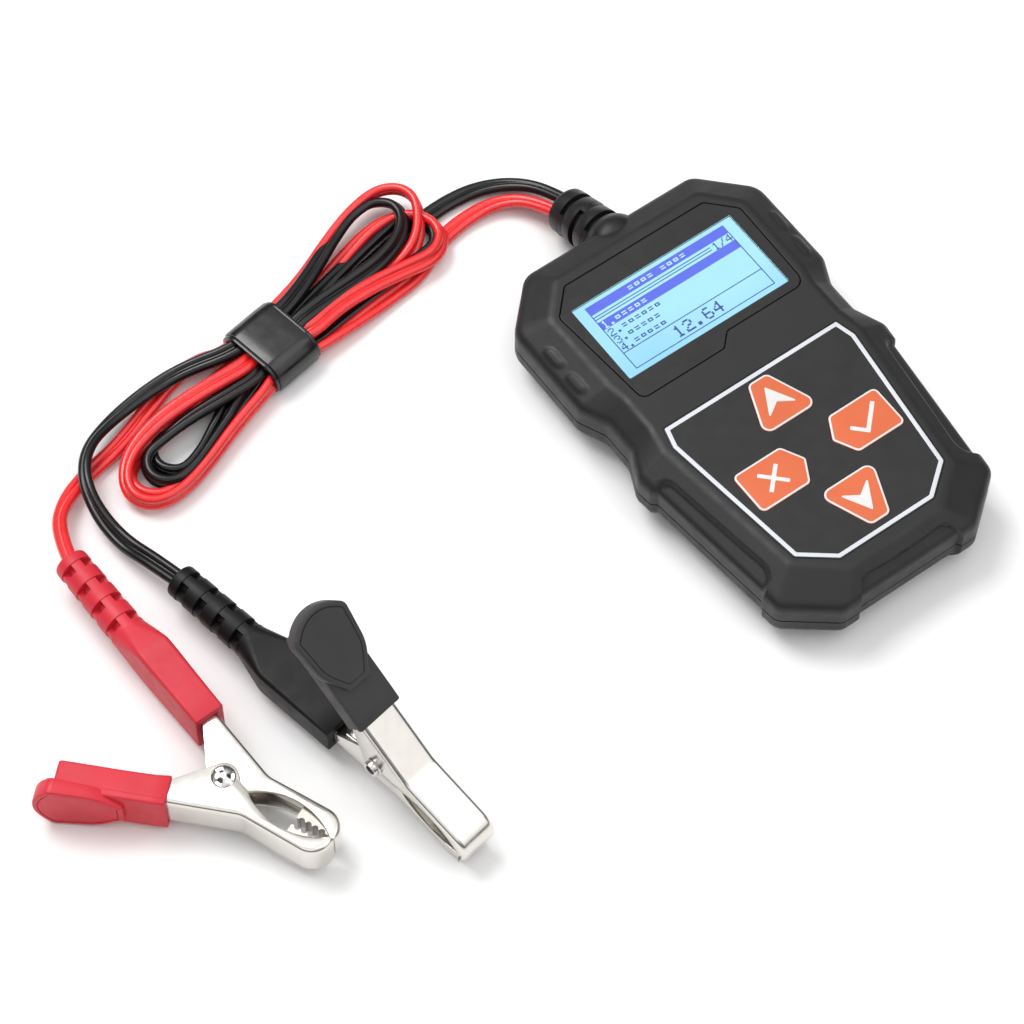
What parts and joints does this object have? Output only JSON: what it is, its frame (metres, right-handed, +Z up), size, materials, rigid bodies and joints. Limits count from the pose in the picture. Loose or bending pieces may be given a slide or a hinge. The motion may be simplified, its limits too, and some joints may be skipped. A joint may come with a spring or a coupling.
{
  "type": "battery tester",
  "caption": "Hand-held battery tester with a backlit display, arrow keypad and bevelled housing, and red and black leads with spring clamps, bundled by a strap.",
  "frame": {"origin": "centre of the bottom of the housing's bounding box, on the surface it lies on", "axes": "+Z up out of the face of the display, +Y towards the end the leads leave, +X to the right of a person reading the display"},
  "size_m": [0.2456, 0.1741, 0.0535],
  "materials": {
    "housing_plastic": "fine texture, matte",
    "screw_steel": "zinc plated",
    "display_lens": "clear",
    "lcd_glass": "lit display",
    "lcd_backlight": "white diffuser",
    "frame_plastic": "moulded",
    "keypad_film": "satin printed film",
    "key_orange": "satin",
    "switch_stem": "moulded",
    "switch_case": "moulded",
    "circuit_board": "solder mask",
    "chip_plastic": "moulded",
    "ceramic": "ceramic",
    "buzzer_plastic": "moulded",
    "tin": "solder",
    "wire": "insulated wire",
    "gland_rubber": "flexible",
    "black_cord": "glossy flexible jacket",
    "red_cord": "glossy flexible jacket",
    "strap_pvc": "satin band",
    "red_vinyl": "dipped vinyl, satin",
    "black_vinyl": "dipped vinyl, satin",
    "jaw_nickel": "nickel plated",
    "rivet_steel": "nickel plated",
    "spring_steel": "spring wire",
    "crimp_copper": "tinned copper"
  },
  "bodies": {
    "tester": {"front_housing": "housing_plastic", "rear_housing": "housing_plastic", "housing_screws": "screw_steel", "display_lens": "display_lens", "lcd_glass": "lcd_glass", "lcd_backlight": "lcd_backlight", "lcd_frame": "frame_plastic", "keypad_film": "keypad_film", "tactile_switches": "switch_case", "circuit_board": "circuit_board", "load_resistors": "ceramic", "microcontroller": "chip_plastic", "signal_chips": "chip_plastic", "buzzer": "buzzer_plastic", "solder_terminals": "tin", "inner_wires": "wire", "cable_gland": "gland_rubber", "black_lead_inner": "black_cord", "red_lead_inner": "red_cord", "black_lead_outer": "black_cord", "red_lead_outer": "red_cord", "lead_hank": "red_cord", "cable_strap": "strap_pvc", "red_boot": "red_vinyl", "red_fixed_jaw": "jaw_nickel", "red_fixed_teeth": "jaw_nickel", "red_pivot_rivet": "rivet_steel", "red_spring_coil": "spring_steel", "red_wire_crimp": "crimp_copper", "black_boot": "black_vinyl", "black_fixed_jaw": "jaw_nickel", "black_fixed_teeth": "jaw_nickel", "black_pivot_rivet": "rivet_steel", "black_spring_coil": "spring_steel", "black_wire_crimp": "crimp_copper"},
    "key_up_body": {"key_up": "key_orange", "stem_up": "switch_stem"},
    "key_down_body": {"key_down": "key_orange", "stem_down": "switch_stem"},
    "key_enter_body": {"key_enter": "key_orange", "stem_enter": "switch_stem"},
    "key_exit_body": {"key_exit": "key_orange", "stem_exit": "switch_stem"},
    "red_jaw_body": {"red_grip": "red_vinyl", "red_moving_jaw": "jaw_nickel", "red_moving_teeth": "jaw_nickel", "red_spring_arm": "spring_steel"},
    "black_jaw_body": {"black_grip": "black_vinyl", "black_moving_jaw": "jaw_nickel", "black_moving_teeth": "jaw_nickel", "black_spring_arm": "spring_steel"}
  },
  "joints": [
    {"name": "key_up_press", "type": "slide", "parent": "tester", "child": "key_up_body", "axis": [0, 0, -1], "range_m": [0, 0.00035], "stiffness_N_per_m": 800, "springref_m": -0.0001},
    {"name": "key_down_press", "type": "slide", "parent": "tester", "child": "key_down_body", "axis": [0, 0, -1], "range_m": [0, 0.00035], "stiffness_N_per_m": 800, "springref_m": -0.0001},
    {"name": "key_enter_press", "type": "slide", "parent": "tester", "child": "key_enter_body", "axis": [0, 0, -1], "range_m": [0, 0.00035], "stiffness_N_per_m": 800, "springref_m": -0.0001},
    {"name": "key_exit_press", "type": "slide", "parent": "tester", "child": "key_exit_body", "axis": [0, 0, -1], "range_m": [0, 0.00035], "stiffness_N_per_m": 800, "springref_m": -0.0001},
    {"name": "red_clamp_open", "type": "hinge", "parent": "tester", "child": "red_jaw_body", "pos_m": [-0.1674, -0.0098, 0.0086], "axis": [0, 0, -1], "range_deg": [0, 30], "stiffness_Nm_per_rad": 0.3, "springref_deg": -17.19},
    {"name": "black_clamp_open", "type": "hinge", "parent": "tester", "child": "black_jaw_body", "pos_m": [-0.1319, -0.0284, 0.0157], "axis": [-0.9842, -0.1771, 0], "range_deg": [0, 30], "stiffness_Nm_per_rad": 0.3, "springref_deg": -17.19}
  ]
}
